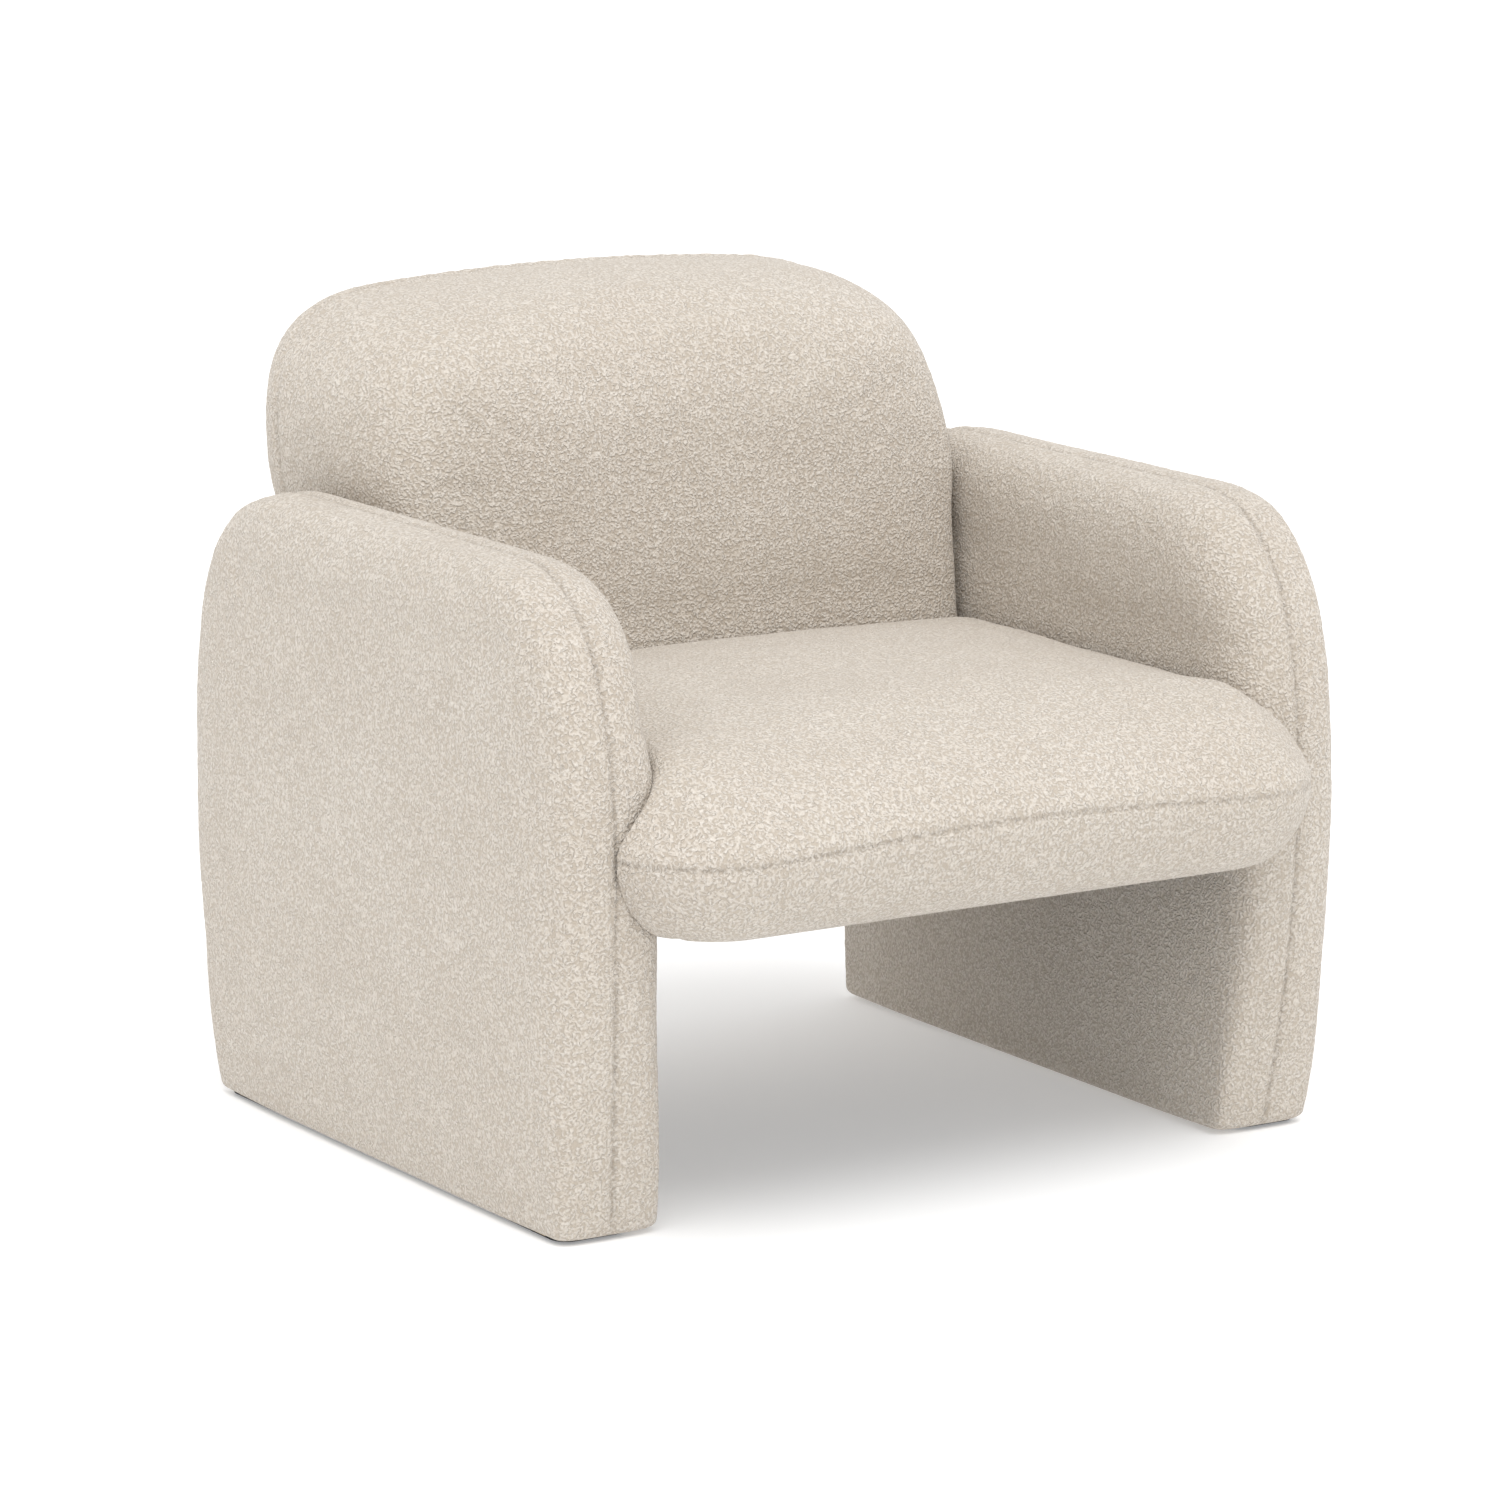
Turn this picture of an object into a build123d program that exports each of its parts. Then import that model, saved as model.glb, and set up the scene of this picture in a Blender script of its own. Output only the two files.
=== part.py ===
from build123d import *
import os
from math import cos, radians, sin, tan

# An upholstered armchair: two slab arms stand on the floor, and a sprung seat and a webbed
# back are bolted between them.  Every upholstered unit has a wood frame, foam and a sewn cover.
# Millimetres, +Z up.  The chair faces -Y, so the sitter's left is +X.  The origin is on the
# floor, under the centre of the chair.

os.makedirs("parts", exist_ok=True)

# Arms: a slab between two upright faces, seen from the side as an outline with bowed ends
arm_outer = 400
arm_inner = 288
arm_top = 557
arm_front = -314
arm_front_foot = -277
arm_rear = 354
arm_rear_foot = 312
arm_widest_at = 300
arm_front_corner = 135
arm_rear_corner = 140
arm_front_lean = 22
arm_rear_lean = 26
arm_edge_round = 38
arm_seam = (arm_inner + arm_outer) / 2
outline_drop = 60
chair_width = 2 * arm_outer

# Seat: a bullnose slab whose front runs on round the arms' front edges, as far as their seams
seat_base = 257
seat_top = 415
seat_front = -401
seat_seam = 340
seat_lower_nose = 50
seat_upper_nose = 85
seat_end_round = 44
seat_back_gap = 1.5

# Back: a slab that leans back
recline = 7
back_foot = 112
back_length = 475.6
back_thickness = 240
back_crown = 8
back_corner = 112
back_front_round = 70
back_rear_round = 80
back_seam = 170

# Upholstery
unit_gap = 0.5
cover = 2
cloth = 1
arm_foam = 20
arm_edge_foam = 36
wadding = 6

# Arm frame: heights are above the floor, the other places are along Y
ply = 5
arm_rail = 45
arm_rail_width = 45
arm_front_post_at = -200
arm_back_post = (215, 275)
arm_rear_post_at = 290
arm_rail_clear = 0.2

# Seat frame
board = 24
seat_rail_base = 259.5
seat_rail_top = 322
seat_front_rail_at = -346
seat_rear_rail_at = 105
seat_front_rail_half = 285
seat_front_rail_chamfer = 18
seat_block_leg = 60
seat_block_height = 50
seat_cleat_span = (-230, 268)
back_cleat_margin = 4
back_cleat_top = 480
dust_cloth_inset = 6
dust_cloth_corner = 50
insulator_inset = 5

# Seat springing
spring_wire = 3.8
spring_half_width = 24
spring_bar_step = 22
spring_lift = 1.5
spring_bars = 20
spring_start = -334
spring_spacing = 100
clip_width = 24
clip_length = 16
clip_height = 7
wire_clear = 0.4
insulator_base = 329.5
insulator = 4
foam_base = 334.5

# Back frame: distances along the lean of the back, and into it from its front
frame_deep = 60
back_frame_at = 80
back_frame_foot = 22
back_frame_head = 405
webbing_width = 50
webbing = 1.3
webbing_inset = 2
webbing_clear = 0.1
webbing_room = 4
webbing_up = (-165, -55, 55, 165)
webbing_across = (90, 180, 270, 350)

# Bolts, tee nuts, glides
bolt = 8
bolt_hole = 9
bolt_length = 100
bolt_head_across = 13
bolt_head_height = 5.3
washer_width = 24
washer_thickness = 2
tee_barrel = 10
tee_barrel_length = 12
tee_flange = 22
tee_flange_thickness = 1.5
glide_width = 28
glide_height = 2.5
glide_nail = 2.5
glide_nail_length = 16
glides_along = (-225, 245)
glide_half_spacing = 17
seat_bolts_along = (-170, 0)
back_bolt_heights = (307, 440)

# Values that follow from the ones above
spring_height = seat_rail_top + spring_lift + spring_wire / 2
arm_floor = glide_height
arm_frame_floor = arm_floor + cloth
unit_half_width = arm_inner - unit_gap
inner_skin_at = arm_inner + cover + arm_foam
outer_skin_at = arm_outer - cover - arm_foam
rail_at = inner_skin_at + ply
frame_head = arm_top - arm_edge_foam
rail_outer = unit_half_width - cover - unit_gap
rail_inner = rail_outer - board
bolt_start = rail_inner - washer_thickness
seat_rail_middle = (seat_rail_base + seat_rail_top) / 2
back_plane = Plane(
    origin=(0, back_foot, seat_base),
    x_dir=(1, 0, 0),
    z_dir=(0, -cos(radians(recline)), sin(radians(recline))),
)
back_frame_middle = back_frame_at + frame_deep / 2


def back_y(height):
    """Y of the middle of the back frame at a height above the floor."""
    along = (height - seat_base + back_frame_middle * sin(radians(recline))) / cos(radians(recline))
    return back_foot + along * sin(radians(recline)) + back_frame_middle * cos(radians(recline))


# Every bolt runs along X; each place is its Y and Z
seat_bolts = [(y, seat_rail_middle) for y in seat_bolts_along]
back_bolts = [(back_y(height), height) for height in back_bolt_heights]
bolt_places = seat_bolts + back_bolts
glide_rows = (arm_seam - glide_half_spacing, arm_seam + glide_half_spacing)
glide_places = [(y, x) for y in glides_along for x in glide_rows]


def finish(piece, name):
    """Label one finished piece and write it."""
    piece.label = name
    export_step(piece, f"parts/{name}.step")


def finish_pair(piece, name):
    """Write an arm piece for the left arm, and mirrored for the right arm."""
    finish(piece, f"left_{name}")
    finish(mirror(piece, about=Plane.YZ), f"right_{name}")


# ---------------------------------------------------------------- shapes that pieces share


def arm_profile(plane, inset):
    """The arm's outline from the side, moved in by inset; it is drawn down past the floor."""
    with BuildSketch(plane) as profile:
        with BuildLine():
            front = ThreePointArc(
                (arm_front_foot, -outline_drop),
                (arm_front, arm_widest_at),
                (arm_front + arm_front_lean, arm_top),
            )
            rear = ThreePointArc(
                (arm_rear - arm_rear_lean, arm_top),
                (arm_rear, arm_widest_at),
                (arm_rear_foot, -outline_drop),
            )
            Line(front @ 1, rear @ 0)
            Line(rear @ 1, front @ 0)
        make_face()
        upper = profile.vertices().group_by(Axis.Y)[-1].sort_by(Axis.X)
        fillet(upper[0], radius=arm_front_corner)
        upper = profile.vertices().group_by(Axis.Y)[-1].sort_by(Axis.X)
        fillet(upper[-1], radius=arm_rear_corner)
        if inset:
            offset(amount=-inset, mode=Mode.REPLACE)
    return profile.sketch


def arm_block(inset, level):
    """The arm's soft slab, moved in by inset on every side but the level foot."""
    profile = arm_profile(Plane.YZ.offset(arm_inner + inset), inset)
    with BuildPart() as block:
        extrude(profile, amount=arm_outer - arm_inner - 2 * inset, dir=(1, 0, 0))
        rim = block.faces().filter_by(Axis.X).edges().filter_by(GeomType.LINE)
        fillet(rim.group_by(Axis.Z)[-1], radius=arm_edge_round - inset)
        split(bisect_by=Plane.XY.offset(level), keep=Keep.TOP)
    return block.part


def arm_plate(start, thickness, inset, level):
    """A flat board with the arm's outline moved in by inset."""
    profile = arm_profile(Plane.YZ.offset(start), inset)
    with BuildPart() as plate:
        extrude(profile, amount=thickness, dir=(1, 0, 0))
        split(bisect_by=Plane.XY.offset(level), keep=Keep.TOP)
    return plate.part


def seat_block(inset):
    """The seat's soft slab, moved in by inset; its sides lie against the arms all the way."""
    lean = (seat_top - seat_base) * tan(radians(recline))
    left_arm = arm_block(-unit_gap - inset, 0)
    with BuildPart() as block:
        with BuildSketch(Plane.YZ.offset(-arm_seam + inset)) as profile:
            with BuildLine():
                Polyline(
                    (back_foot - seat_back_gap, seat_base),
                    (seat_front, seat_base),
                    (seat_front, seat_top),
                    (back_foot - seat_back_gap + lean, seat_top),
                    close=True,
                )
            make_face()
            lower, upper = profile.vertices().group_by(Axis.X)[0].sort_by(Axis.Y)
            fillet(lower, radius=seat_lower_nose)
            upper = profile.vertices().group_by(Axis.Y)[-1].sort_by(Axis.X)[0]
            fillet(upper, radius=seat_upper_nose)
            if inset:
                offset(amount=-inset, kind=Kind.INTERSECTION, mode=Mode.REPLACE)
        extrude(amount=2 * (arm_seam - inset))
        ends = block.faces().filter_by(Axis.X).edges().filter_by(GeomType.LINE)
        fillet(ends.group_by(Axis.Y)[0], radius=seat_end_round - inset)
        add(left_arm, mode=Mode.SUBTRACT)
        add(mirror(left_arm, about=Plane.YZ, mode=Mode.PRIVATE), mode=Mode.SUBTRACT)
    return block.part


def back_block(inset):
    """The back's soft slab, moved in by inset, with a level foot."""
    head_corner = back_length - back_crown
    with BuildPart() as block:
        with BuildSketch(back_plane.offset(-inset)) as outline:
            with BuildLine():
                head = ThreePointArc(
                    (-unit_half_width, head_corner), (0, back_length), (unit_half_width, head_corner)
                )
                Polyline(
                    head @ 1,
                    (unit_half_width, -outline_drop),
                    (-unit_half_width, -outline_drop),
                    head @ 0,
                )
            make_face()
            fillet(outline.vertices().group_by(Axis.Y)[-1], radius=back_corner)
            if inset:
                offset(amount=-inset, mode=Mode.REPLACE)
        extrude(amount=-(back_thickness - 2 * inset))
        front_rim = block.faces().sort_by(Axis.Y)[0].edges()
        fillet(front_rim.sort_by(Axis.Z)[-1], radius=back_front_round - inset)
        rear_rim = block.faces().sort_by(Axis.Y)[-1].edges()
        fillet(rear_rim.sort_by(Axis.Z)[-1], radius=back_rear_round - inset)
        split(bisect_by=Plane.XY.offset(seat_base + inset), keep=Keep.TOP)
    return block.part


def bolt_bores(start, length, width):
    """A rod along X at every bolt, to cut bolt holes with."""
    with BuildPart() as bores:
        with BuildSketch(Plane.YZ.offset(start)):
            with Locations(*bolt_places):
                Circle(width / 2)
        extrude(amount=length)
    return bores.part


arm_skin = arm_block(0, arm_floor)
arm_padding = arm_block(cover, arm_frame_floor)
seat_skin = seat_block(0)
seat_lining = seat_block(cover)
back_skin = back_block(0)
back_lining = back_block(cover)


# ---------------------------------------------------------------- arms, made as the left one

# The cover is a closed skin round the foam, open at the foot, sewn from two halves
with BuildPart() as arm_outer_cover:
    add(arm_skin)
    add(arm_padding, mode=Mode.SUBTRACT)
    split(bisect_by=Plane.XY.offset(arm_frame_floor), keep=Keep.TOP)
    split(bisect_by=Plane.YZ.offset(arm_seam), keep=Keep.TOP)
finish_pair(arm_outer_cover.part, "arm_outer_cover")

with BuildPart() as arm_inner_cover:
    add(arm_skin)
    add(arm_padding, mode=Mode.SUBTRACT)
    split(bisect_by=Plane.XY.offset(arm_frame_floor), keep=Keep.TOP)
    split(bisect_by=Plane.YZ.offset(arm_seam), keep=Keep.BOTTOM)
    add(bolt_bores(arm_inner - 1, cover + 2, bolt_hole), mode=Mode.SUBTRACT)
finish_pair(arm_inner_cover.part, "arm_inner_cover")

# Foam sheets on the two broad sides, and a thick band round the front, top and rear edge
with BuildPart() as arm_outer_foam:
    add(arm_padding)
    split(bisect_by=Plane.YZ.offset(outer_skin_at), keep=Keep.TOP)
finish_pair(arm_outer_foam.part, "arm_outer_foam")

back_cleat_span = (seat_rail_top + cover, back_cleat_top)
back_cleat_width = arm_back_post[1] - arm_back_post[0] - 2 * back_cleat_margin
with BuildPart() as arm_seat_cleat:
    with BuildSketch(Plane.YZ.offset(arm_inner + cover)):
        with Locations((sum(seat_cleat_span) / 2, seat_rail_middle)):
            Rectangle(seat_cleat_span[1] - seat_cleat_span[0], seat_rail_top - seat_rail_base)
    extrude(amount=arm_foam)
    add(bolt_bores(arm_inner, arm_foam + 4, bolt_hole), mode=Mode.SUBTRACT)
finish_pair(arm_seat_cleat.part, "arm_seat_cleat")

with BuildPart() as arm_back_cleat:
    with BuildSketch(Plane.YZ.offset(arm_inner + cover)):
        with Locations((sum(arm_back_post) / 2, sum(back_cleat_span) / 2)):
            Rectangle(back_cleat_width, back_cleat_span[1] - back_cleat_span[0])
    extrude(amount=arm_foam)
    add(bolt_bores(arm_inner, arm_foam + 4, bolt_hole), mode=Mode.SUBTRACT)
finish_pair(arm_back_cleat.part, "arm_back_cleat")

with BuildPart() as arm_inner_foam:
    add(arm_padding)
    split(bisect_by=Plane.YZ.offset(inner_skin_at), keep=Keep.BOTTOM)
    with BuildSketch(Plane.YZ.offset(arm_inner)):
        with Locations((sum(seat_cleat_span) / 2, seat_rail_middle)):
            Rectangle(seat_cleat_span[1] - seat_cleat_span[0], seat_rail_top - seat_rail_base)
        with Locations((sum(arm_back_post) / 2, sum(back_cleat_span) / 2)):
            Rectangle(back_cleat_width, back_cleat_span[1] - back_cleat_span[0] + 2 * cover)
    extrude(amount=arm_foam + 4, mode=Mode.SUBTRACT)
finish_pair(arm_inner_foam.part, "arm_inner_foam")

arm_frame_space = arm_plate(inner_skin_at, outer_skin_at - inner_skin_at, arm_edge_foam, arm_frame_floor)
with BuildPart() as arm_edge_band:
    add(arm_padding)
    split(bisect_by=Plane.YZ.offset(inner_skin_at), keep=Keep.TOP)
    split(bisect_by=Plane.YZ.offset(outer_skin_at), keep=Keep.BOTTOM)
    add(arm_frame_space, mode=Mode.SUBTRACT)
finish_pair(arm_edge_band.part, "arm_edge_foam")

# Plywood skins over both sides of the frame
finish_pair(arm_plate(outer_skin_at - ply, ply, arm_edge_foam, arm_frame_floor), "arm_outer_ply")
inner_ply_blank = arm_plate(inner_skin_at, ply, arm_edge_foam, arm_frame_floor)
with BuildPart() as arm_inner_ply:
    add(inner_ply_blank)
    add(bolt_bores(inner_skin_at - 1, ply + 2, bolt_hole), mode=Mode.SUBTRACT)
finish_pair(arm_inner_ply.part, "arm_inner_ply")

# The frame: posts and rails sawn to the curve of the plywood
frame_width = outer_skin_at - inner_skin_at - 2 * ply
frame_blank = arm_plate(rail_at, frame_width, arm_edge_foam, arm_frame_floor)
bottom_rail_top = arm_frame_floor + arm_rail
top_rail_base = frame_head - arm_rail


def arm_member(y_span, z_span, width):
    """One piece of the arm frame: the frame's outline cut to a box, with the bolt holes."""
    with BuildPart() as member:
        with BuildSketch(Plane.YZ.offset(rail_at)):
            with Locations((sum(y_span) / 2, sum(z_span) / 2)):
                Rectangle(y_span[1] - y_span[0], z_span[1] - z_span[0])
        extrude(amount=width)
        add(frame_blank, mode=Mode.INTERSECT)
        add(bolt_bores(rail_at - 1, width + 2, bolt_hole), mode=Mode.SUBTRACT)
        barrel_start = rail_at + arm_rail_width - tee_barrel_length
        add(bolt_bores(barrel_start, width, tee_barrel + arm_rail_clear), mode=Mode.SUBTRACT)
    return member.part


post_span = (bottom_rail_top, top_rail_base)
between_posts = (arm_front_post_at, arm_rear_post_at)
finish_pair(arm_member((arm_front, arm_front_post_at), post_span, frame_width), "arm_front_post")
finish_pair(arm_member((arm_rear_post_at, arm_rear), post_span, frame_width), "arm_rear_post")
finish_pair(
    arm_member(arm_back_post, (seat_rail_top, top_rail_base), arm_rail_width), "arm_back_post"
)
finish_pair(
    arm_member(between_posts, (seat_rail_base, seat_rail_top), arm_rail_width), "arm_middle_rail"
)
finish_pair(arm_member((arm_front, arm_rear), (top_rail_base, arm_top), frame_width), "arm_top_rail")

bottom_rail_blank = arm_member((arm_front, arm_rear), (arm_floor, bottom_rail_top), frame_width)
with BuildPart() as arm_bottom_rail:
    add(bottom_rail_blank)
    with BuildSketch(Plane.XY):
        with Locations(*[(x, y) for y, x in glide_places]):
            Circle((glide_nail + arm_rail_clear) / 2)
    extrude(amount=glide_height + glide_nail_length + 1, mode=Mode.SUBTRACT)
finish_pair(arm_bottom_rail.part, "arm_bottom_rail")

# Cloth tacked under the foot of the arm
foot_margin = 22
with BuildPart() as arm_bottom_cloth:
    with BuildSketch(Plane.XY.offset(arm_floor)):
        with Locations((arm_seam, (arm_front_foot + arm_rear_foot) / 2)):
            RectangleRounded(
                arm_outer - arm_inner - 2 * foot_margin,
                arm_rear_foot - arm_front_foot,
                radius=arm_edge_round - foot_margin,
            )
        with Locations(*[(x, y) for y, x in glide_places]):
            Circle((glide_nail + arm_rail_clear) / 2, mode=Mode.SUBTRACT)
    extrude(amount=cloth)
finish_pair(arm_bottom_cloth.part, "arm_bottom_cloth")

# ---------------------------------------------------------------- seat

with BuildPart() as seat_top_cover:
    add(seat_skin)
    add(seat_lining, mode=Mode.SUBTRACT)
    split(bisect_by=Plane.XY.offset(seat_seam), keep=Keep.TOP)
finish(seat_top_cover.part, "seat_top_cover")

# The lower cover turns in under the frame and is tacked there, so its middle is open
turn_in = 36
with BuildPart() as seat_bottom_cover:
    add(seat_skin)
    add(seat_lining, mode=Mode.SUBTRACT)
    split(bisect_by=Plane.XY.offset(seat_seam), keep=Keep.BOTTOM)
    with BuildSketch(Plane.XY.offset(seat_base)):
        open_front = seat_front_rail_at + turn_in
        open_rear = back_foot - turn_in
        with Locations((0, (open_front + open_rear) / 2)):
            Rectangle(2 * (unit_half_width - turn_in), open_rear - open_front)
    extrude(amount=cover + 1, mode=Mode.SUBTRACT)
    add(bolt_bores(unit_half_width - cover - 1, cover + 2, bolt_hole), mode=Mode.SUBTRACT)
    add(bolt_bores(-unit_half_width - 1, cover + 2, bolt_hole), mode=Mode.SUBTRACT)
finish(seat_bottom_cover.part, "seat_bottom_cover")

with BuildPart() as seat_dust_cloth:
    with BuildSketch(Plane.XY.offset(seat_base - cloth)):
        with Locations((0, (seat_front_rail_at + seat_rear_rail_at) / 2)):
            RectangleRounded(
                2 * (rail_outer - dust_cloth_inset),
                seat_rear_rail_at - seat_front_rail_at - 2 * dust_cloth_inset,
                radius=dust_cloth_corner,
            )
    extrude(amount=cloth)
finish(seat_dust_cloth.part, "seat_dust_cloth")

# Room for the frame and springs: everything behind the front rail, up to the foam
frame_room_height = foam_base - seat_base
with BuildPart() as seat_frame_room:
    with BuildSketch(Plane.XY.offset(seat_base)):
        with Locations((0, seat_front_rail_at)):
            Rectangle(chair_width, chair_width, align=(Align.CENTER, Align.MIN))
    extrude(amount=frame_room_height)

seat_core = seat_block(cover + wadding)
with BuildPart() as seat_foam:
    add(seat_core)
    add(seat_frame_room.part, mode=Mode.SUBTRACT)
finish(seat_foam.part, "seat_foam")

with BuildPart() as seat_wadding:
    add(seat_lining)
    add(seat_core, mode=Mode.SUBTRACT)
    add(seat_frame_room.part, mode=Mode.SUBTRACT)
finish(seat_wadding.part, "seat_wadding")

with BuildPart() as seat_insulator:
    with BuildSketch(Plane.XY.offset(insulator_base)):
        with Locations((0, (seat_front_rail_at + seat_rear_rail_at) / 2)):
            Rectangle(
                2 * (rail_outer - insulator_inset), seat_rear_rail_at - seat_front_rail_at - cover
            )
    extrude(amount=insulator)
finish(seat_insulator.part, "seat_insulator")


def seat_board(x_span, y_span):
    """One board of the seat frame, standing on edge, with bolt holes through its broad side."""
    with BuildPart() as rail:
        with BuildSketch(Plane.XY.offset(seat_rail_base)):
            with Locations((sum(x_span) / 2, sum(y_span) / 2)):
                Rectangle(x_span[1] - x_span[0], y_span[1] - y_span[0])
        extrude(amount=seat_rail_top - seat_rail_base)
        add(bolt_bores(rail_inner - 1, board + 2, bolt_hole), mode=Mode.SUBTRACT)
        add(bolt_bores(-rail_outer - 1, board + 2, bolt_hole), mode=Mode.SUBTRACT)
    return rail.part


front_rail_span = (seat_front_rail_at, seat_front_rail_at + board)
rear_rail_span = (seat_rear_rail_at - board, seat_rear_rail_at)
side_rail_span = (front_rail_span[1], rear_rail_span[0])
front_board = seat_board((-seat_front_rail_half, seat_front_rail_half), front_rail_span)
with BuildPart() as seat_front_rail:
    add(front_board)
    front_corners = seat_front_rail.edges().filter_by(Axis.Z).group_by(Axis.Y)[0]
    chamfer(front_corners, length=seat_front_rail_chamfer)
finish(seat_front_rail.part, "seat_front_rail")
finish(seat_board((-rail_outer, rail_outer), rear_rail_span), "seat_rear_rail")
finish(seat_board((rail_inner, rail_outer), side_rail_span), "seat_left_rail")
finish(seat_board((-rail_outer, -rail_inner), side_rail_span), "seat_right_rail")

# Glued triangular blocks in the four corners of the seat frame
with BuildPart() as seat_corner_blocks:
    with BuildSketch(Plane.XY.offset(seat_rail_base)):
        for side in (-1, 1):
            for corner_y, inward in ((side_rail_span[0], 1), (side_rail_span[1], -1)):
                with BuildLine():
                    Polyline(
                        (side * rail_inner, corner_y),
                        (side * (rail_inner - seat_block_leg), corner_y),
                        (side * rail_inner, corner_y + inward * seat_block_leg),
                        close=True,
                    )
                make_face()
    extrude(amount=seat_block_height)
finish(seat_corner_blocks.part, "seat_corner_blocks")

# Sinuous springs: wire bent to and fro, running from the front rail to the rear rail
spring_places = [spring_spacing * step for step in (-2, -1, 0, 1, 2)]
spring_end = spring_start + (spring_bars - 1) * spring_bar_step
with BuildPart() as seat_springs:
    for middle in spring_places:
        corners = []
        for bar in range(spring_bars):
            side = -1 if bar % 2 == 0 else 1
            at_y = spring_start + bar * spring_bar_step
            corners.append((middle + side * spring_half_width, at_y, spring_height))
            corners.append((middle - side * spring_half_width, at_y, spring_height))
        with BuildLine() as wire:
            FilletPolyline(*corners, radius=spring_bar_step / 2 - 1)
        start_plane = Plane(origin=wire.line @ 0, z_dir=wire.line % 0)
        with BuildSketch(start_plane):
            Circle(spring_wire / 2)
        sweep()
finish(seat_springs.part, "seat_springs")

# A folded steel clip holds each end bar of each spring to its rail
with BuildPart() as seat_spring_clips:
    with BuildSketch(Plane.XY.offset(seat_rail_top)):
        with Locations(*[(x, y) for x in spring_places for y in (spring_start, spring_end)]):
            Rectangle(clip_width, clip_length)
    extrude(amount=clip_height)
    with BuildSketch(Plane.YZ.offset(-arm_seam)):
        with Locations(*[(y, spring_height) for y in (spring_start, spring_end)]):
            Circle((spring_wire + wire_clear) / 2)
    extrude(amount=2 * arm_seam, mode=Mode.SUBTRACT)
finish(seat_spring_clips.part, "seat_spring_clips")

# ---------------------------------------------------------------- back


def back_slab(deep_from, deep_to, foot, head, half_width):
    """A board-shaped space in the back, square to its lean."""
    with BuildPart() as slab:
        with BuildSketch(back_plane.offset(-deep_from)):
            with Locations((0, (foot + head) / 2)):
                Rectangle(2 * half_width, head - foot)
        extrude(amount=-(deep_to - deep_from))
    return slab.part


def back_cover(keep):
    """The part of the back's cover in front of its seam, or behind it."""
    with BuildPart() as shell:
        add(back_skin)
        add(back_lining, mode=Mode.SUBTRACT)
        split(bisect_by=back_plane.offset(-back_seam), keep=keep)
        add(bolt_bores(unit_half_width - cover - 1, cover + 2, bolt_hole), mode=Mode.SUBTRACT)
        add(bolt_bores(-unit_half_width - 1, cover + 2, bolt_hole), mode=Mode.SUBTRACT)
    return shell.part


finish(back_cover(Keep.TOP), "back_front_cover")
finish(back_cover(Keep.BOTTOM), "back_rear_cover")

frame_rear = back_frame_at + frame_deep
frame_room = back_slab(
    back_frame_at - webbing_room,
    frame_rear + 1,
    -outline_drop,
    back_frame_head + unit_gap,
    rail_outer + unit_gap,
)
with BuildPart() as back_front_foam:
    add(back_lining)
    split(bisect_by=back_plane.offset(-frame_rear - 1), keep=Keep.TOP)
    add(frame_room, mode=Mode.SUBTRACT)
finish(back_front_foam.part, "back_front_foam")

with BuildPart() as back_rear_foam:
    add(back_lining)
    split(bisect_by=back_plane.offset(-frame_rear - 1), keep=Keep.BOTTOM)
finish(back_rear_foam.part, "back_rear_foam")


back_frame_limit = back_block(cover + unit_gap)


def back_board(x_span, up_span):
    """One board of the back frame, sawn to the outline of the back, with the bolt holes."""
    with BuildPart() as rail:
        with BuildSketch(back_plane.offset(-back_frame_at)):
            with Locations((sum(x_span) / 2, sum(up_span) / 2)):
                Rectangle(x_span[1] - x_span[0], up_span[1] - up_span[0])
        extrude(amount=-frame_deep)
        add(back_frame_limit, mode=Mode.INTERSECT)
        add(bolt_bores(rail_inner - 1, board + 2, bolt_hole), mode=Mode.SUBTRACT)
        add(bolt_bores(-rail_outer - 1, board + 2, bolt_hole), mode=Mode.SUBTRACT)
    return rail.part


stile_span = (back_frame_foot, back_frame_head)
finish(back_board((rail_inner, rail_outer), stile_span), "back_left_stile")
finish(back_board((-rail_outer, -rail_inner), stile_span), "back_right_stile")
across = (-rail_inner, rail_inner)
finish(back_board(across, (back_frame_head - board, back_frame_head)), "back_top_rail")
finish(back_board(across, (back_frame_foot, back_frame_foot + board)), "back_bottom_rail")

# Webbing stretched over the front of the frame: upright straps, then straps across them
with BuildPart() as back_webbing:
    with BuildSketch(back_plane.offset(-back_frame_at)):
        with Locations(*[(x, (back_frame_foot + back_frame_head) / 2) for x in webbing_up]):
            Rectangle(webbing_width, back_frame_head - back_frame_foot - 2 * webbing_inset)
    extrude(amount=webbing)
    with BuildSketch(back_plane.offset(-back_frame_at + webbing + webbing_clear)):
        with Locations(*[(0, up) for up in webbing_across]):
            Rectangle(2 * (rail_outer - webbing_inset), webbing_width)
    extrude(amount=webbing)
finish(back_webbing.part, "back_webbing")

# ---------------------------------------------------------------- fasteners and glides


def both_sides(piece):
    """The left-hand set of fasteners together with the same set for the right."""
    with BuildPart() as pair:
        add(piece)
        mirror(about=Plane.YZ)
    return pair.part


with BuildPart() as bolts:
    with BuildSketch(Plane.YZ.offset(bolt_start)):
        with Locations(*bolt_places):
            RegularPolygon(bolt_head_across / 2, 6, major_radius=False)
    extrude(amount=-bolt_head_height)
    with BuildSketch(Plane.YZ.offset(bolt_start)):
        with Locations(*bolt_places):
            Circle(bolt / 2)
    extrude(amount=bolt_length)
    tips = bolts.faces().filter_by(Axis.X).group_by(Axis.X)[-1].edges()
    chamfer(tips, length=1)
finish(both_sides(bolts.part), "frame_bolts")

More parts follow.
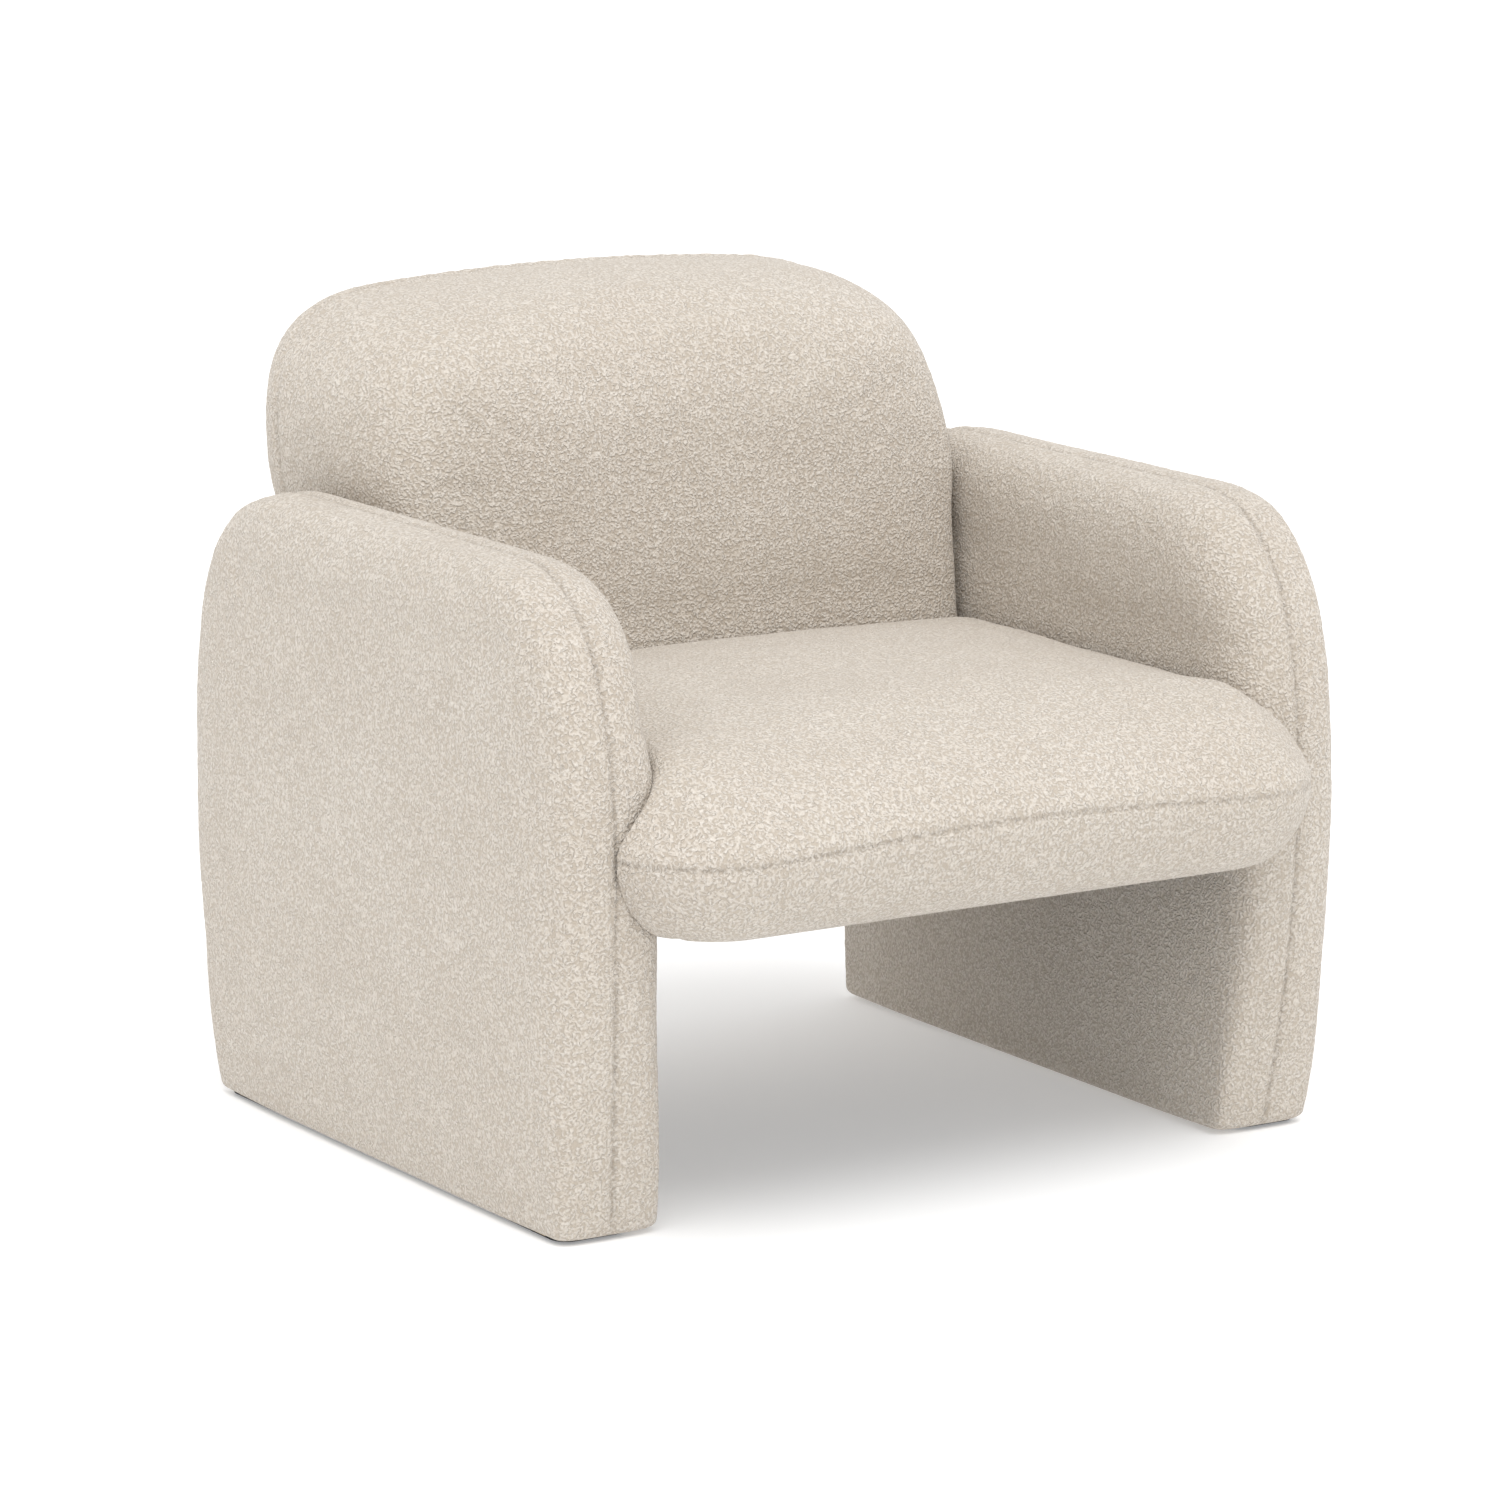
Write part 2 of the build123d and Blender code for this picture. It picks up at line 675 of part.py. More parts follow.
with BuildPart() as washers:
    with BuildSketch(Plane.YZ.offset(bolt_start)):
        with Locations(*bolt_places):
            Circle(washer_width / 2)
            Circle(bolt_hole / 2, mode=Mode.SUBTRACT)
    extrude(amount=washer_thickness)
finish(both_sides(washers.part), "bolt_washers")

tee_face = rail_at + arm_rail_width
with BuildPart() as tee_nuts:
    with BuildSketch(Plane.YZ.offset(tee_face)):
        with Locations(*bolt_places):
            Circle(tee_flange / 2)
            Circle((bolt + arm_rail_clear) / 2, mode=Mode.SUBTRACT)
    extrude(amount=tee_flange_thickness)
    with BuildSketch(Plane.YZ.offset(tee_face)):
        with Locations(*bolt_places):
            Circle(tee_barrel / 2)
            Circle((bolt + arm_rail_clear) / 2, mode=Mode.SUBTRACT)
    extrude(amount=-tee_barrel_length)
finish(both_sides(tee_nuts.part), "tee_nuts")

with BuildPart() as glides:
    with BuildSketch():
        with Locations(*[(x, y) for y, x in glide_places]):
            Circle(glide_width / 2)
    extrude(amount=glide_height)
    chamfer(glides.edges().group_by(Axis.Z)[0], length=1)
    with BuildSketch(Plane.XY.offset(glide_height)):
        with Locations(*[(x, y) for y, x in glide_places]):
            Circle(glide_nail / 2)
    extrude(amount=glide_nail_length)
finish(both_sides(glides.part), "glides")
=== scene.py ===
import math

import bmesh
import bpy
import numpy as np
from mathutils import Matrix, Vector, kdtree, noise


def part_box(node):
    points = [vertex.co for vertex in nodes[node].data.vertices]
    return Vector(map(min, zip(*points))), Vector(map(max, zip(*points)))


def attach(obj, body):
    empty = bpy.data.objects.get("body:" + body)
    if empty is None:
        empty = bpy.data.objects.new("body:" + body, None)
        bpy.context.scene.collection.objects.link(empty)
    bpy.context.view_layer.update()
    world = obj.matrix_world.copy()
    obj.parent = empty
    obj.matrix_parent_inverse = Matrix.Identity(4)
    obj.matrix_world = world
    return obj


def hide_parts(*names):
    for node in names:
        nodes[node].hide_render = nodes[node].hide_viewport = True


# An upholstered armchair in looped cream fabric.  The frame, springs and fasteners are the CAD
# nodes with procedural materials; the sewn covers are modelled here, in metres, round them.

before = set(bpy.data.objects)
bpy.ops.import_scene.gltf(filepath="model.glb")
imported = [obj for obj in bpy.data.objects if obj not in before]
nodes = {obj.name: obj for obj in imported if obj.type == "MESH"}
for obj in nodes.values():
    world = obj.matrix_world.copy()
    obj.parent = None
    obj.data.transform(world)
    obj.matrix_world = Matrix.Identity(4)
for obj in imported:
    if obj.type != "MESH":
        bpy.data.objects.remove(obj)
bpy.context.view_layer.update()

# ---------------------------------------------------------------- mesh helpers

MERGE = 2e-5               # points closer than this are one point


def smooth_step(value, start, end):
    """0 before start, 1 after end, and an even curve between them."""
    t = np.clip((np.asarray(value, float) - start) / (end - start), 0.0, 1.0)
    return t * t * (3.0 - 2.0 * t)


def mix(first, second, share):
    """A mix of two values: the first at share 0, the second at share 1."""
    return first + (second - first) * share


def superellipse(angle, power):
    """How far a rounded edge has come in (depth) and out (side) at an angle from its seam."""
    depth = 1.0 - np.abs(np.cos(angle)) ** (2.0 / power)
    side = np.abs(np.sin(angle)) ** (2.0 / power)
    return depth, side


def arc_length(points):
    """The distance along a line of points, from its first point."""
    step = np.linalg.norm(np.diff(points, axis=0), axis=1)
    return np.concatenate(([0.0], np.cumsum(step)))


def resample(points, count):
    """The same open line with evenly spaced points."""
    along = arc_length(points)
    places = np.linspace(0.0, along[-1], count)
    return np.stack([np.interp(places, along, column) for column in points.T], 1)


def grid_faces(rows, columns, start=0):
    """Quads over a grid of points that is stored row by row."""
    row, column = np.meshgrid(np.arange(rows - 1), np.arange(columns - 1), indexing="ij")
    corner = (start + row * columns + column).ravel()
    return np.stack([corner, corner + 1, corner + columns + 1, corner + columns], 1)


def mesh_object(name, sheets):
    """A closed, smooth-shaded mesh from grids of points whose borders meet."""
    points, faces, start = [], [], 0
    for sheet in sheets:
        rows, columns = sheet.shape[:2]
        points.append(sheet.reshape(-1, 3))
        faces.append(grid_faces(rows, columns, start))
        start += rows * columns
    mesh = bpy.data.meshes.new(name)
    mesh.from_pydata(np.concatenate(points).tolist(), [], np.concatenate(faces).tolist())
    shape = bmesh.new()
    shape.from_mesh(mesh)
    bmesh.ops.remove_doubles(shape, verts=shape.verts, dist=MERGE)
    bmesh.ops.dissolve_degenerate(shape, edges=shape.edges, dist=MERGE / 10)
    bmesh.ops.recalc_face_normals(shape, faces=shape.faces)
    open_edges = sum(len(edge.link_faces) != 2 for edge in shape.edges)
    if open_edges:
        raise ValueError(f"{name} has {open_edges} open edges")
    shape.to_mesh(mesh)
    shape.free()
    mesh.shade_smooth()
    piece = bpy.data.objects.new(name, mesh)
    bpy.context.scene.collection.objects.link(piece)
    return piece


def positions(mesh):
    """The mesh's vertices as rows of an array."""
    values = np.empty(len(mesh.vertices) * 3, np.float32)
    mesh.vertices.foreach_get("co", values)
    return values.reshape(-1, 3).astype(float)


def normals(mesh):
    """The mesh's vertex normals as rows of an array."""
    values = np.empty(len(mesh.vertices) * 3, np.float32)
    mesh.vertex_normals.foreach_get("vector", values)
    return values.reshape(-1, 3).astype(float)


def set_positions(mesh, values):
    """Moves the mesh's vertices to the rows of an array."""
    mesh.vertices.foreach_set("co", values.astype(np.float32).ravel())
    mesh.update()


def apply_modifiers(piece):
    """Replaces the piece's mesh with what its modifiers make of it."""
    graph = bpy.context.evaluated_depsgraph_get()
    result = bpy.data.meshes.new_from_object(piece.evaluated_get(graph))
    result.name = piece.name
    piece.modifiers.clear()
    piece.data = result
    result.shade_smooth()


# ---------------------------------------------------------------- slabs: the arms and the back


def slab_sheets(outline, edges, place, spine_height, steps, side_steps, across_steps):
    """The sheets of a slab that stands on a flat foot.

    outline is the seam line, from one foot up and over to the other foot, with as many points
    on each side of the top.  edges gives, for each of the two sides, the rounded edge's reach
    inwards and its power.  The broad faces run in to an upright spine in their middle.  place
    turns a side, points on the face, how far out they are and how near to the spine into 3-D.
    """
    count = len(outline)
    tangent = np.gradient(outline, axis=0)
    inward = np.stack([tangent[:, 1], -tangent[:, 0]], 1)
    inward /= np.linalg.norm(inward, axis=1)[:, None]
    foot = outline[0, 1]
    across = np.stack([np.sign(inward[:, 0]), np.zeros(count)], 1)
    inward = mix(across, inward, smooth_step(outline[:, 1], foot, foot + 0.10)[:, None])
    inward /= np.linalg.norm(inward, axis=1)[:, None]
    half = count // 2
    climb = arc_length(outline)[: half + 1]
    bend = (climb[-1] / spine_height - 1.0) / climb[-1]
    climb = climb / (1.0 + bend * climb)
    height = foot + np.concatenate([climb, climb[:-1][::-1]])
    middle = np.full(count, (outline[0, 0] + outline[-1, 0]) / 2)
    spine = np.stack([middle, height], 1)
    sheets = {}
    for side in (1, -1):
        reach, power = edges[side]
        rows = []
        for angle in math.pi / 2 * np.linspace(0.0, 1.0, steps) ** 1.35:
            depth, out = superellipse(angle, power)
            rows.append(place(side, outline + inward * (reach * depth)[:, None], out, 0.0))
        rim = outline + inward * reach[:, None]
        for step in range(1, side_steps + 1):
            share = step / side_steps
            rows.append(place(side, mix(rim, spine, share), np.ones(count), share))
        sheets[side] = np.stack(rows)
    strips = []
    for column in (0, -1):
        near, far = sheets[1][:, column], sheets[-1][:, column]
        shares = np.linspace(0.0, 1.0, across_steps + 1)
        strips.append(np.stack([mix(near, far, share) for share in shares], 1))
    return [sheets[1], sheets[-1], *strips]


def with_foot(half, rounding, count, steps=5):
    """Half an outline, evenly spaced, with closer points where its lower edge turns under."""
    rise = rounding * (1.0 - np.cos(np.linspace(0.0, math.pi / 2, steps)))
    height = half[0, 1] + rise
    low = np.stack([np.interp(height, half[:12, 1], half[:12, 0]), height], 1)
    rest = half[half[:, 1] > height[-1] + 0.004]
    rest = np.concatenate([low[-1:], rest]) if len(rest) < len(half) else half
    return np.concatenate([low[:-1], resample(rest, count - steps + 1)])


def turn_under(height, foot, rounding):
    """How far the surface draws in at a height above the foot, where its lower edge is round."""
    up = np.clip((height - foot) / rounding, 0.0, 1.0)
    return rounding * (1.0 - np.sqrt(1.0 - (1.0 - up) ** 2))


_, outer_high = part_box("left_arm_outer_cover")
inner_low, inner_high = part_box("left_arm_inner_cover")
ARM_OUTER = outer_high.x
ARM_INNER = inner_low.x
ARM_FRONT = inner_low.y
ARM_REAR = inner_high.y
ARM_FLOOR = inner_low.z
ARM_TOP = inner_high.z
ARM_WIDEST = 0.300         # height where the front and rear edges bow out furthest
ARM_FRONT_SETBACK = 0.029  # how far the front of the foot stands back from that bow
ARM_REAR_SETBACK = 0.030
ARM_FRONT_REACH = 0.155    # length of the front top corner, along Y
ARM_REAR_REACH = 0.165
ARM_FRONT_POWER = 2.5      # 2 is an ellipse, more is squarer
ARM_REAR_POWER = 2.6
ARM_NOSE = 0.064           # reach of the rounded edge over the broad faces
ARM_NOSE_POWER = 4.0       # how square the rounded edge is
ARM_CROWN_NOSE = 0.084     # reach of the inner edge near the top, where it is softer
ARM_CROWN_POWER = 2.8
ARM_NOSE_FOOT = 0.020      # the same at the foot, where the edge is squarer
ARM_FOOT_POWER = 4.5       # how square it is there
ARM_EDGE_RISE = (0.02, 0.24)    # heights between which the foot's edge becomes the arm's
ARM_CROWN_RISE = (0.37, 0.45)   # heights between which the inner edge becomes softer
ARM_OUTER_TUCK = 0.015     # how far the outer face draws in at the foot
ARM_INNER_SPREAD = 0.007   # how far the inner face stands in at the foot
ARM_CROWN = 0.003          # how far the broad faces swell
ARM_BULGE = 0.006          # how far the inner face leans over the seat
ARM_BULGE_RISE = (0.43, 0.48)
ARM_BULGE_END = (-0.10, 0.06)   # Y between which that fades out towards the back
ARM_FOOT_ROUND = 0.007
ARM_SPINE = 0.36           # height of the line that the broad faces run in to


def arm_outline(count):
    """The arm's seam line from the side: Y and Z from the front foot over to the rear foot."""
    rise = np.linspace(0.0, 1.0, 40)
    low = mix(ARM_FLOOR, ARM_WIDEST, rise)
    bow = (1.0 - rise) ** 1.9
    turn = np.linspace(0.0, math.pi / 2, 80)
    middle = (ARM_FRONT + ARM_FRONT_REACH + ARM_REAR - ARM_REAR_REACH) / 2
    halves = []
    for edge, inward, reach, power, setback in (
        (ARM_FRONT, 1.0, ARM_FRONT_REACH, ARM_FRONT_POWER, ARM_FRONT_SETBACK),
        (ARM_REAR, -1.0, ARM_REAR_REACH, ARM_REAR_POWER, ARM_REAR_SETBACK),
    ):
        side = np.stack([edge + inward * setback * bow, low], 1)
        depth, up = superellipse(turn, power)
        height = ARM_WIDEST + (ARM_TOP - ARM_WIDEST) * up
        corner = np.stack([edge + inward * reach * depth, height], 1)
        half = np.concatenate([side[:-1], corner, [[middle, ARM_TOP]]])
        halves.append(with_foot(half, ARM_FOOT_ROUND, count))
    return np.concatenate([halves[0], halves[1][::-1][1:]])


def arm_faces(height):
    """X of the arm's inner and outer face at a height."""
    tuck = (1.0 - np.clip(height / 0.25, 0.0, 1.0)) ** 1.5
    return ARM_INNER - ARM_INNER_SPREAD * tuck, ARM_OUTER - ARM_OUTER_TUCK * tuck


def arm_place(side, flat, out, share):
    """One row of the left arm; side 1 is its outer face."""
    inner_x, outer_x = arm_faces(flat[:, 1])
    draw = turn_under(flat[:, 1], ARM_FLOOR, ARM_FOOT_ROUND)
    half = (outer_x - inner_x) / 2 - ARM_CROWN - draw
    half = half + ARM_CROWN * math.sin(math.pi / 2 * min(1.0, share * 2.5))
    x = (inner_x + outer_x) / 2 + side * half * out
    if side < 0:
        over_seat = smooth_step(flat[:, 1], *ARM_BULGE_RISE)
        over_seat *= 1.0 - smooth_step(flat[:, 0], *ARM_BULGE_END)
        x = x - ARM_BULGE * over_seat * out
    centre = (ARM_FRONT + ARM_REAR) / 2
    y = flat[:, 0] - np.sign(flat[:, 0] - centre) * draw * (1.0 - share)
    return np.stack([x, y, flat[:, 1]], 1)


def arm_form(name):
    """The left arm's upholstery as a closed slab with a flat foot."""
    outline = arm_outline(96)
    lift = smooth_step(outline[:, 1], *ARM_EDGE_RISE)
    crown = smooth_step(outline[:, 1], *ARM_CROWN_RISE)
    reach = mix(ARM_NOSE_FOOT, ARM_NOSE, lift)
    power = mix(ARM_FOOT_POWER, ARM_NOSE_POWER, lift)
    soft_reach = mix(reach, ARM_CROWN_NOSE, crown)
    soft_power = mix(power, ARM_CROWN_POWER, crown)
    edges = {1: (reach, power), -1: (soft_reach, soft_power)}
    sheets = slab_sheets(outline, edges, arm_place, ARM_SPINE, 26, 30, 10)
    return mesh_object(name, sheets), sheets[0][0]


front_low, front_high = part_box("back_front_cover")
BACK_HALF = front_high.x
BACK_FOOT = front_low.z
BACK_TOP = front_high.z
BACK_FRONT = front_low.y
BACK_LEAN = math.tan(math.radians(7.0))
BACK_SEAM = 0.182          # depth of the seam behind the flat front plane
BACK_DEPTH = 0.241         # depth of the whole back
BACK_CORNER = 0.115        # radius of the upper corners
BACK_CORNER_POWER = 2.3
BACK_HEAD_DROP = 0.008     # how much lower the head is at its corners than in its middle
BACK_FRONT_EDGE = ((0.032, 0.088), (5.0, 2.7))  # reach and power between and above the arms
BACK_REAR_EDGE = ((0.060, 0.080), (3.0, 2.7))
BACK_EDGE_RISE = (0.44, 0.66)   # heights between which one becomes the other
BACK_FORWARD = 0.020       # how far the front face stands before that plane above the seat
BACK_BULGE = 0.004         # how much further it swells in the middle
BACK_FLARE = 0.020         # how much wider the back is above the arms
BACK_FLARE_RISE = (0.470, 0.560)
BACK_REAR_BULGE = 0.006
BACK_FOOT_ROUND = 0.014
BACK_SPINE = 0.30


def back_outline(count):
    """The back's seam line from the front: X and Z from the left foot over to the right."""
    side_top = BACK_TOP - BACK_HEAD_DROP - BACK_CORNER
    low = np.linspace(BACK_FOOT, side_top, 60)
    flare = BACK_FLARE * smooth_step(low, *BACK_FLARE_RISE)
    side = np.stack([-BACK_HALF - flare, low], 1)
    depth, up = superellipse(np.linspace(0.0, math.pi / 2, 60), BACK_CORNER_POWER)
    widest = -BACK_HALF - BACK_FLARE
    corner = np.stack([widest + BACK_CORNER * depth, side_top + BACK_CORNER * up], 1)
    across = np.linspace(corner[-1, 0], 0.0, 40)
    crown = BACK_HEAD_DROP * (across / corner[-1, 0]) ** 2
    head = np.stack([across, BACK_TOP - crown], 1)
    half = with_foot(np.concatenate([side[:-1], corner[:-1], head]), BACK_FOOT_ROUND, count)
    return np.concatenate([half, half[::-1][1:] * np.array([-1.0, 1.0])])


def back_face(height):
    """Y of the back's flat front plane at a height."""
    return BACK_FRONT + BACK_LEAN * (height - BACK_FOOT)


def back_forward(height):
    """How far the back's front stands before its flat plane at a height."""
    return BACK_FORWARD * smooth_step(height, BACK_FOOT + 0.02, 0.38)


def back_place(side, flat, out, share):
    """One row of the back; side 1 is its front."""
    draw = turn_under(flat[:, 1], BACK_FOOT, BACK_FOOT_ROUND)
    x = flat[:, 0] - np.sign(flat[:, 0]) * draw * (1.0 - share)
    swell = math.sin(math.pi / 2 * min(1.0, share * 1.5))
    if side > 0:
        bulge = back_forward(flat[:, 1]) + BACK_BULGE * swell * smooth_step(flat[:, 1], 0.4, 0.5)
        depth = BACK_SEAM * (1.0 - out) + draw * out - bulge * out
    else:
        bulge = BACK_REAR_BULGE * swell
        depth = BACK_SEAM + (BACK_DEPTH - BACK_SEAM - draw) * out + bulge * out
    return np.stack([x, back_face(flat[:, 1]) + depth, flat[:, 1]], 1)


def back_form(name):
    """The back's upholstery as a closed slab with a flat foot."""
    outline = back_outline(88)
    lift = smooth_step(outline[:, 1], *BACK_EDGE_RISE)
    edges = {}
    for side, (reaches, powers) in ((1, BACK_FRONT_EDGE), (-1, BACK_REAR_EDGE)):
        edges[side] = (mix(*reaches, lift), mix(*powers, lift))
    sheets = slab_sheets(outline, edges, back_place, BACK_SPINE, 30, 28, 24)
    return mesh_object(name, sheets), sheets[0][0]


# ---------------------------------------------------------------- seat

seat_low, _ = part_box("seat_top_cover")
under_low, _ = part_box("seat_bottom_cover")
SEAT_FRONT = under_low.y
SEAT_BASE = under_low.z
SEAT_SEAM = seat_low.z
SEAT_END = 0.350           # how far the ends reach over the arms' front edges
SEAT_HALF = 0.2868         # half the width between the arms
SEAT_GAP = 0.0015          # room between the seat and its neighbours
SEAT_SEAM_DROOP = 0.013    # how much lower the seam lies at the ends
SEAT_FLAT = 0.408          # height of the top along the arms
SEAT_CROWN = 0.012         # how far the middle stands above that
SEAT_NOSE = 0.122          # reach of the rounded front over the top
SEAT_CORNER = 0.108        # reach of the rounded ends over the top
SEAT_CORNER_POWER = 2.0    # how square the front corners are from above
SEAT_NOSE_POWER = 1.68
SEAT_UNDER_REACH = 0.054   # reach of the rounded edge below the seam
SEAT_CREASE = 0.017        # how round the top turns down along the arms and the back
SEAT_SLOPE = -ARM_FRONT - ARM_NOSE


def arm_nose_line(x):
    """Y of the arms' rounded front edge at seat height."""
    centre = (ARM_INNER + ARM_OUTER) / 2
    half = (ARM_OUTER - ARM_INNER) / 2
    out = np.clip((centre - np.abs(x)) / half, 0.0, 1.0)
    rest = (1.0 - out**ARM_NOSE_POWER) ** (1.0 / ARM_NOSE_POWER)
    return ARM_FRONT + ARM_NOSE * (1.0 - rest)


def seat_rim_line(x):
    """Y of the seat's front seam: straight, with rounded corners."""
    over = np.clip((np.abs(x) - (SEAT_END - SEAT_CORNER)) / SEAT_CORNER, 0.0, 1.0)
    rest = (1.0 - over**SEAT_CORNER_POWER) ** (1.0 / SEAT_CORNER_POWER)
    return SEAT_FRONT + SEAT_NOSE * (1.0 - rest)


def seat_seam_height(x):
    """Z of the seat's front seam."""
    return SEAT_SEAM - SEAT_SEAM_DROOP * smooth_step(np.abs(x), 0.0, SEAT_END)


def rounded_wall(distance, reach):
    """How far a surface drops beside a wall, where it turns down in a quarter circle."""
    inside = np.clip(distance / reach, 0.0, 1.0)
    return reach * (1.0 - np.sqrt(1.0 - (1.0 - inside) ** 2))


def seat_form(name):
    """The seat: a bullnose slab whose front ends wrap the arms' rounded edges."""
    probe = np.linspace(SEAT_HALF, SEAT_END, 2000)
    meet = seat_rim_line(probe) > arm_nose_line(probe) - SEAT_GAP
    tip = probe[np.argmax(meet)]
    turn = np.linspace(0.0, math.pi / 2, 15)
    flat_half = SEAT_HALF - SEAT_CREASE
    columns = np.concatenate([
        np.linspace(0.0, flat_half, 36)[:-1],
        flat_half + SEAT_CREASE * np.sin(turn[::2]),
        SEAT_HALF + (tip - SEAT_HALF) * np.sin(turn[1:])])
    x = np.concatenate([-columns[::-1][:-1], columns])
    side = np.abs(x)
    wall = np.where(side > SEAT_HALF, arm_nose_line(x) - SEAT_GAP, arm_nose_line(SEAT_HALF))
    rim = seat_rim_line(x)
    wall = np.maximum(wall, rim)
    depth, _ = superellipse(math.pi / 2 * np.linspace(0, 1, 24) ** 1.2, 2.0)
    nose_end = SEAT_NOSE / (-SEAT_SLOPE - SEAT_FRONT)
    along = np.concatenate([nose_end * depth, np.linspace(nose_end, 1.0, 11)[1:]])
    nose_y = rim[None, :] + (wall - rim)[None, :] * along[:, None]
    rear = back_face(SEAT_BASE) - SEAT_GAP
    top_rear = back_face(SEAT_FLAT) - back_forward(SEAT_FLAT) - SEAT_GAP
    rear_lean = (top_rear - rear) / (SEAT_FLAT - SEAT_BASE)
    body_y = np.concatenate([
        np.linspace(wall[len(x) // 2], rear - SEAT_CREASE, 36)[1:],
        rear - SEAT_CREASE + SEAT_CREASE * np.sin(turn[2::2])])
    inner = np.flatnonzero(side <= SEAT_HALF + 1e-9)
    body_y = np.repeat(body_y[:, None], len(inner), 1)

    seam = seat_seam_height(x)
    rim_points = np.stack([x, rim], 1)
    rim_points = resample(rim_points, 900)

    def heights(px, py, lobe):
        """Top and bottom Z over points in plan."""
        tx = np.clip((np.abs(px) - (SEAT_END - SEAT_CORNER)) / SEAT_CORNER, 0.0, 1.0)
        ty = np.clip((SEAT_FRONT + SEAT_NOSE - py) / SEAT_NOSE, 0.0, 1.0)
        near = (tx**SEAT_CORNER_POWER + ty**SEAT_CORNER_POWER) ** (1.0 / SEAT_CORNER_POWER)
        near = np.clip(near, 0.0, 1.0) ** (1.0 + 3.0 * smooth_step(py, -0.36, -0.22))
        rise = (1.0 - near**SEAT_NOSE_POWER) ** (1.0 / SEAT_NOSE_POWER)
        line = seat_seam_height(px)
        crown = np.clip(1.0 - (px / SEAT_HALF) ** 2, 0.0, 1.0)
        crown = SEAT_CROWN * crown * smooth_step(py, SEAT_FRONT + 0.06, -0.20)
        crown = crown * (1.0 - 0.6 * smooth_step(py, -0.02, rear))
        beside = arm_nose_line(px) - SEAT_GAP - py if lobe else SEAT_HALF - np.abs(px)
        if lobe:
            beside = np.where(np.abs(px) > SEAT_HALF - SEAT_CREASE, beside * 0.75, 1.0)
            blend = smooth_step(py, -SEAT_SLOPE - 0.05, -SEAT_SLOPE)
            edge = np.where(np.abs(px) <= SEAT_HALF, SEAT_HALF - np.abs(px), 0.0)
            beside = np.where(np.abs(px) <= SEAT_HALF, edge + (1.0 - blend) * 0.03, beside)
        drop = rounded_wall(beside, SEAT_CREASE)
        drop = np.maximum(drop, rounded_wall(rear - py, SEAT_CREASE))
        full = SEAT_FLAT + crown - line
        top = line + full * rise * (1.0 - drop / 0.075)
        gap = np.empty(px.size)
        flat_points = np.stack([px.ravel(), py.ravel()], 1)
        for first in range(0, len(flat_points), 2000):
            block = flat_points[first:first + 2000]
            gap[first:first + 2000] = np.sqrt(
                ((block[:, None] - rim_points[None]) ** 2).sum(2)).min(1)
        gap = gap.reshape(px.shape)
        inside = np.clip(gap / SEAT_UNDER_REACH, 0.0, 1.0)
        below = (1.0 - (1.0 - inside) ** 1.9) ** (1.0 / 1.9)
        bottom = line - (line - SEAT_BASE) * below
        return top, bottom

    nose_x = np.repeat(x[None, :], len(along), 0)
    body_x = np.repeat(x[None, inner], len(body_y), 0)
    nose_top, nose_bottom = heights(nose_x, nose_y, True)
    body_top, body_bottom = heights(body_x, body_y, False)
    nose_bottom[0] = nose_top[0] = seam

    def lean(px, py, pz):
        """The rear of the seat leans with the back."""
        share = smooth_step(py, -0.08, rear)
        return np.stack([px, py + share * rear_lean * (pz - SEAT_BASE), pz], 2)

    sheets = []
    rims = []
    for nose_z, body_z in ((nose_top, body_top), (nose_bottom, body_bottom)):
        nose = lean(nose_x, nose_y, nose_z)
        body = lean(body_x, body_y, body_z)
        joined = np.concatenate([nose[-1:, inner], body])
        sheets += [nose, joined]
        left, right = inner[0], inner[-1]
        rims.append(np.concatenate([
            nose[-1, :left + 1], joined[1:, 0], joined[-1, 1:], joined[::-1][1:, -1],
            nose[-1, right + 1:]]))
    shares = np.linspace(0.0, 1.0, 9)
    walls = np.stack([mix(rims[0], rims[1], share) for share in shares])
    return mesh_object(name, [*sheets, walls]), sheets[0][0]


# ---------------------------------------------------------------- sewing and stuffing

SETTLE_FRAMES = 20
ARM_PUFF = (0.8, 0.003)         # pressure of the simulation, and the most it may move
BACK_PUFF = (1.5, 0.004)
SEAT_PUFF = (4.0, 0.005)
ARM_SEAM_DEPTH = 0.0021    # how far the cover is pulled in at a seam
BACK_SEAM_DEPTH = 0.0018
SEAT_SEAM_DEPTH = 0.0009
SEAM_WIDTH = 0.0034        # how wide that groove is, to either side
SEAM_PUFF = 0.35           # how far it stands out beside the seam, as a part of that
SEAM_PUFF_AT = 0.0105      # distance from the seam where it stands out most
SEAM_PUCKER = 0.017        # length of one pucker along a seam
PILE = 0.00045             # height of the lumps in the looped pile
PILE_SIZE = 0.0075         # width of one lump
LOOSENESS = 0.0010         # height of the slow waves in the cover
LOOSE_SIZE = 0.075         # length of one wave
SEAM_PUFF_WIDTH = 0.006
SEAM_PUFF_VARIES = 0.6     # how much the puckers change that, as a part of it
SEAM_DEPTH_VARIES = 0.22
SEAM_SHADE_WIDTH = 0.0022  # half the width of the line of painted shade along a seam
SEAM_HOLD = (0.004, 0.035)      # distances from a seam between which the cover comes free
PRESS_START = (0.22, 0.25)      # heights where the seat and the back start to press on the arms
SEAT_PRESS_END = (0.41, 0.45)   # heights where the seat no longer does
BACK_PRESS_END = (0.56, 0.60)   # heights where the back stands free of the arms
BACK_PRESS_FRONT = (0.08, 0.13)  # Y where the back starts to press on the arms


